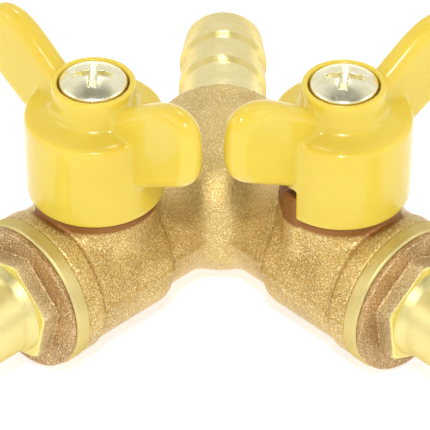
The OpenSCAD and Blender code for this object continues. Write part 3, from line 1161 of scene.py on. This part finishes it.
@dataclass
class EndCap:
    """A screwed-in cap: blasted flange and hexagon, turned spigot and barb."""

    side: Side
    hex_turn: float
    flange_r: float = 8.95
    flange_t: float = 0.8
    hex_w: float = 12.0
    hex_t: float = 2.2
    spigot_r: float = 7.55
    groove_r: float = 6.85
    groove_w: float = 1.1
    thread_pitch: float = 0.9
    hollow_r: float = 5.2
    voxel: float = 0.14
    barb: Barb = field(default_factory=Barb)

    @property
    def face(self) -> float:
        """Distance of the body's outlet face from the meeting point."""
        return PLAN.stem_distance + PLAN.face_forward

    @property
    def end(self) -> float:
        """Distance of the hexagon's end face from the meeting point."""
        return self.face + self.flange_t + self.hex_t

    def build(self) -> None:
        """Makes both pieces of the cap."""
        self.flange()
        self.turned()

    def flange(self) -> None:
        """Carves the flange and the hexagon, in the branch's own frame."""
        carve = Carving(f"{self.side.word}_cap_carving")
        x, y, z = carve.parts(carve.place)
        flange_r, flange_t, hex_w = carve.sizes(self, "flange_r", "flange_t", "hex_w")
        off = carve.hyp(y, z)
        along = x - self.face
        disc = carve.bar(off, flange_r, along, 0.0, flange_t, 0.35)
        flats = None
        for i in range(3):
            a = math.radians(self.hex_turn + 30 + 60 * i)
            side = (z * math.cos(a) + y * math.sin(a)).size() - hex_w / 2
            flats = side if flats is None else flats.most(side, 0.25)
        block = flats.most(carve.slab(along, 0.2, self.end - self.face), 0.2)
        corner_r = self.hex_w / 2 / math.cos(math.pi / 6)
        cone = (off - (corner_r - 0.35) + (along - (self.end - self.face)) * 1.2) * 0.64
        block = block.most(cone, 0.15)
        shape = disc.least(block, 0.2).most(self.hollow_r - off)
        finish = BlastedBrass(
            f"blasted_brass_{self.side.word}_cap", light=(0.62, 0.40, 0.17, 1), dark=(0.32, 0.17, 0.06, 1),
            faced_from=self.end - 0.22, raised_from=self.face + self.flange_t + 0.05, side=self.side,
        )
        low, high = (self.face - 0.6, -9.5, -9.5), (self.end + 0.6, 9.5, 9.5)
        piece = carve.mesh(f"{self.side.word}_cap_forging", shape, low, high, self.voxel, finish)
        Workshop.settle(piece, PLAN.branch(self.side))
        Workshop.hand_over(piece, "body", "forged_brass", f"{self.side.word}_end_cap")

    def turned(self) -> None:
        """Turns the spigot, the cone and the barb."""
        start = PLAN.stem_distance + 6.0
        face, end, mouth, spigot = self.face, self.end, PLAN.cap_mouth, self.spigot_r
        neck_r, core_r = self.hex_w / 2 - 0.3, self.hollow_r + 0.2
        ring = face - 0.25
        turn = ring - self.groove_w
        points = [(mouth - d, r, e) for d, r, e in self.barb.outline()]
        points += [
            (end, neck_r, 0.1), (end - 0.3, neck_r, 0.05), (end - 0.3, core_r, 0.05), (face, core_r, 0.05),
            (face, spigot, 0.02), (ring, spigot, 0.02), (ring, self.groove_r, 0.05),
            (turn, self.groove_r, 0.05), (turn, spigot, 0.02),
        ]
        valley = ((0.3, 0.0), (0.45, 0.3), (0.6, 0.3), (0.75, 0.0))
        while turn - self.thread_pitch > start + 0.4:
            points += [(turn - back, spigot - deep, 0.03) for back, deep in valley]
            turn -= self.thread_pitch
        tail = ((start + 0.4, spigot), (start, spigot - 0.4), (start, self.barb.bore_r))
        points += [(along, r, 0.03) for along, r in tail]
        finish = TurnedBrass(f"turned_brass_{self.side.word}_cap", self.side, falls=self.barb.falls(mouth))
        piece = Workshop.lathe(f"{self.side.word}_cap_turned", points, PLAN.branch(self.side), finish)
        Workshop.hand_over(piece, "body", "machined_brass", f"{self.side.word}_end_cap")


# ---- Handles ----


@dataclass
class Handle:
    """A butterfly handle: skirt, hub, screw ring and two upswept wings."""

    skirt_r: float = 8.08
    skirt_inner_r: float = 6.5
    skirt_low: float = 9.9
    shoulder_z: float = 20.9
    hub_low: float = 15.8
    ring_r: float = 4.9
    ring_top: float = 25.2
    recess_r: float = 4.15
    recess_floor: float = 23.4
    wing_reach: float = 17.2
    wing_top: float = 28.7
    wing_t: float = 3.2
    gap_top: float = 14.1
    gap_from: float = -110.0
    gap_to: float = 8.0
    square_w: float = 4.3
    voxel: float = 0.17

    def build(self) -> None:
        """Carves one handle and makes both from it."""
        Workshop.hand_over_pair(self.carve(), "handle_moulded", "handle_paint", "handle")

    def carve(self) -> bpy.types.Object:
        """The handle in its own frame, with the leading wing along +X.

        Returns:
            The moulded handle.
        """
        carve = Carving("handle_carving")
        x, y, z = carve.parts(carve.place)
        skirt_r, ring_r, ring_top, reach, top = carve.sizes(
            self, "skirt_r", "ring_r", "ring_top", "wing_reach", "wing_top"
        )
        off = carve.hyp(x, y)
        drum = carve.rounded(off - skirt_r, carve.slab(z, self.skirt_low, self.shoulder_z), 0.55)
        cap = carve.rounded(off - ring_r, carve.slab(z, self.hub_low, ring_top), 0.3)
        cone = ((z - self.shoulder_z) + (off - 7.4) * 0.3) * 0.95
        roof = cone.most(carve.slab(z, self.hub_low, self.shoulder_z + 1.2)).most(off - 7.5, 0.3)
        solid = drum.least(roof, 0.4).least(cap, 1.8)
        solid = solid.least(self.wings(carve, x, y, z, reach, top), 1.2)
        inner = carve.bar(off, self.skirt_inner_r, z, self.skirt_low - 3, self.hub_low, 0.4)
        solid = solid.most(-inner, 0.3)
        recess = carve.bar(off, self.recess_r, z, self.recess_floor, ring_top + 3, 0.2)
        solid = solid.most(-recess, 0.25)
        half = self.square_w / 2
        square = (x.size() - half).most(y.size() - half).most(z - self.recess_floor - 1)
        solid = solid.most(-square)
        gap = carve.sector(x, y, self.gap_from, self.gap_to).most(z - self.gap_top, 0.3).most(5.2 - off)
        solid = solid.most(-gap, 0.2)
        low, high = (-17.7, -8.6, 9.4), (17.7, 8.6, 30.3)
        return carve.mesh("handle_moulded", solid, low, high, self.voxel, HandleCoat(), relax=2)

    def wings(self, carve: Carving, x: Sock, y: Sock, z: Sock, reach: Sock, top: Sock) -> Sock:
        """Both wings: a flat blade with a high rounded crown and a swept lower edge.

        Args:
            carve: the tree.
            x: distance along the wings.
            y: distance across them.
            z: height.
            reach: how far the wings reach.
            top: height of their crowns.

        Returns:
            The distance to both wings.
        """
        r = x.size()
        plate = y.size() - self.wing_t / 2
        slope = ((z - 25.5) - (r - 7.4) * 0.7) * 0.82
        high = (z - top).most(slope, 3.0)
        low = ((15.1 - z) + (r - 9.0) * 0.55) * 0.876
        edge = (r - reach).most(high, 5.8).most(low, 3.6).most(3.0 - r)
        return carve.rounded(edge, plate, self.wing_t / 2 - 0.1)


# ---- Handle screws ----


SCREW_PLATING = Metal("plated_screw_steel", (0.98, 0.93, 0.68, 1), (0.88, 0.82, 0.52, 1), 0.20, 0.008)


@dataclass
class HandleScrew:
    """Domed pan-head screw with a cross recess."""

    head_low: float = 24.2
    head_r: float = 3.93
    rim_h: float = 0.95
    dome_h: float = 2.2
    shank_r: float = 1.9
    shank_l: float = 8.0
    cross_w: float = 0.95
    cross_l: float = 4.2
    cross_depth: float = 1.3
    voxel: float = 0.09

    def build(self) -> None:
        """Carves one screw and makes both from it."""
        Workshop.hand_over_pair(self.carve(), "screw_turned", "screw_steel", "handle_screw")

    def carve(self) -> bpy.types.Object:
        """The screw in the handle's frame.

        Returns:
            The screw.
        """
        carve = Carving("screw_carving")
        x, y, z = carve.parts(carve.place)
        head_low, head_r, shank_r = carve.sizes(self, "head_low", "head_r", "shank_r")
        off = carve.hyp(x, y)
        rise = self.dome_h - self.rim_h
        ball_r = (self.head_r ** 2 + rise ** 2) / (2 * rise)
        dome = carve.hyp(off, z - (self.head_low + self.dome_h - ball_r)) - ball_r
        head = dome.most(off - head_r, 0.35).most(head_low - z, 0.15)
        shank = carve.bar(off, shank_r, z, self.head_low - self.shank_l, self.head_low + 0.3, 0.2)
        a, b = carve.turned(x, y, math.radians(45))
        floor = self.head_low + self.dome_h - self.cross_depth
        rake = (z - floor) * 0.16
        first, second = (
            (wide.size() - self.cross_w / 2).most(long.size() - self.cross_l / 2 - rake, 0.12)
            for long, wide in ((a, b), (b, a))
        )
        arms = first.least(second, 0.25).most(floor - z + off * 0.25, 0.15)
        solid = head.most(-arms, 0.12).least(shank, 0.2)
        low = (-4.3, -4.3, self.head_low - self.shank_l - 0.3)
        high = (4.3, 4.3, self.head_low + self.dome_h + 0.3)
        return carve.mesh("screw_turned", solid, low, high, self.voxel, SCREW_PLATING)


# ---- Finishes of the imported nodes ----


@dataclass
class PackedNodes:
    """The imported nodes: inner parts, which show as they are, and those that finished pieces stand for."""

    def build(self) -> None:
        """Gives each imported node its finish."""
        steel = Metal("spring_steel_washer", (0.72, 0.70, 0.64, 1), (0.52, 0.50, 0.46, 1), 0.28, 0.02)
        chrome = Metal("polished_chrome_ball", (0.86, 0.87, 0.88, 1), (0.76, 0.77, 0.79, 1), 0.06, 0.004)
        stem = Metal("turned_brass_stem", (0.92, 0.80, 0.36, 1), (0.74, 0.58, 0.18, 1), 0.22, 0.02)
        seat = Plain("pressed_ptfe", (0.92, 0.92, 0.89, 1), (0.82, 0.82, 0.78, 1), 0.38)
        rubber = Plain("nitrile_rubber", (0.035, 0.035, 0.038, 1), (0.018, 0.018, 0.02, 1), 0.62, 0.6)
        finishes = {
            "lock_washer": steel, "stem": stem, "ball": chrome,
            "upper_stem_ring": rubber, "lower_stem_ring": rubber, "cap_ring": rubber,
            "thrust_washer": seat, "inner_seat": seat, "outer_seat": seat,
            "handle": HandleCoat(), "handle_screw": SCREW_PLATING,
        }
        self.dress("valve_body", BlastedBrass("blasted_brass"))
        for side in Side:
            self.dress(f"{side.word}_end_cap", TurnedBrass(f"turned_brass_{side.word}_cap", side))
            for word, finish in finishes.items():
                self.dress(f"{side.word}_{word}", finish)

    @staticmethod
    def dress(name: str, finish: Finish) -> None:
        """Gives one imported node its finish; a finish already made for a piece is the same one."""
        Workshop.dress(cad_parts[name], finish)
        LOG.info("%s: finished in %s", name, finish.name)


# ---- Studio ----


@dataclass
class Studio:
    """White floor, soft light and the camera."""

    elevation: float = 38.5
    azimuth: float = 0.95
    distance: float = 400.0
    lens: float = 274.6
    right: float = 0.65
    up: float = 4.33
    surround: float = 0.87

    def build(self) -> None:
        """Makes the camera, the lights and the floor."""
        self.camera()
        self.floor()
        self.lights()

    def camera(self) -> None:
        """Places the camera and looks at the meeting point."""
        a, e = math.radians(self.azimuth), math.radians(self.elevation)
        back = Vector((math.sin(a) * math.cos(e), -math.cos(a) * math.cos(e), math.sin(e)))
        turn = (-back).to_track_quat("-Z", "Y")
        made = bpy.data.cameras.new("view_camera")
        made.lens, made.sensor_width, made.sensor_fit = self.lens, 36.0, "HORIZONTAL"
        made.clip_start, made.clip_end = 0.01, 10.0
        camera = Workshop.bench("view_camera", made)
        shift = turn @ Vector((-self.right, -self.up, 0))
        spot = Vector((0, -PLAN.inlet_reach, 0)) + back * self.distance + shift
        camera.location = spot * MM
        camera.rotation_mode = "QUATERNION"
        camera.rotation_quaternion = turn
        bpy.context.scene.camera = camera

    def floor(self) -> None:
        """Lays a pale floor just under the object; its lengths are metres."""
        low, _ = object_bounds()
        half, gap = 1.2, 0.00005
        mesh = bpy.data.meshes.new("studio_floor")
        corners = [(-half, -half), (half, -half), (half, half), (-half, half)]
        mesh.from_pydata([(x, y, low.z - gap) for x, y in corners], [], [(0, 1, 2, 3)])
        floor = Workshop.bench("studio_floor", mesh)
        Workshop.dress(floor, LightTable())
        floor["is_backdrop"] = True

    def lights(self) -> None:
        """Hangs a small key light in front, a strip behind, a soft box either side and the surround."""
        world = bpy.data.worlds.new("studio_surround")
        bpy.context.scene.world = world
        world.use_nodes = True
        tree = Tree(world.node_tree)
        way = tree.node("ShaderNodeTexCoord", {}, {}, out="Generated")
        turn = math.radians(82)
        facing = tree.vector("DOT_PRODUCT", way, (0.0, -math.cos(turn), math.sin(turn)), out="Value")
        power = facing.ramp(0.72, 0.93, self.surround, self.surround * 0.35)
        glow = tree.node("ShaderNodeBackground", {}, {"Color": WHITE, "Strength": power})
        tree.node("ShaderNodeOutputWorld", {}, {0: glow})
        middle = Vector((0, -0.035, 0.005))
        plan = (
            ("key_light", (-0.004, -0.41, 0.48), 0.035, 1.75),
            ("back_strip", (0.0, 0.30, 0.55), 0.04, 0.35),
            ("left_softbox", (-0.50, -0.10, 0.28), 0.28, 0.35),
            ("right_softbox", (0.50, -0.10, 0.28), 0.28, 0.35),
        )
        for name, spot, size, power in plan:
            lamp = bpy.data.lights.new(name, "AREA")
            lamp.shape, lamp.size, lamp.energy = "SQUARE", size, power
            light = Workshop.bench(name, lamp)
            light.location = spot
            light.rotation_mode = "QUATERNION"
            light.rotation_quaternion = (middle - Vector(spot)).to_track_quat("-Z", "Y")
        bpy.context.scene.view_settings.view_transform = "Standard"


def main() -> None:
    """Builds the object in order, then the studio."""
    logging.basicConfig(level=logging.INFO, format="%(message)s")
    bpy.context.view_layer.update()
    ForgedBody().build()
    EndCap(Side.LEFT, 14.0).build()
    EndCap(Side.RIGHT, -7.0).build()
    Handle().build()
    HandleScrew().build()
    PackedNodes().build()
    Studio().build()


if __name__ == "__main__":
    main()
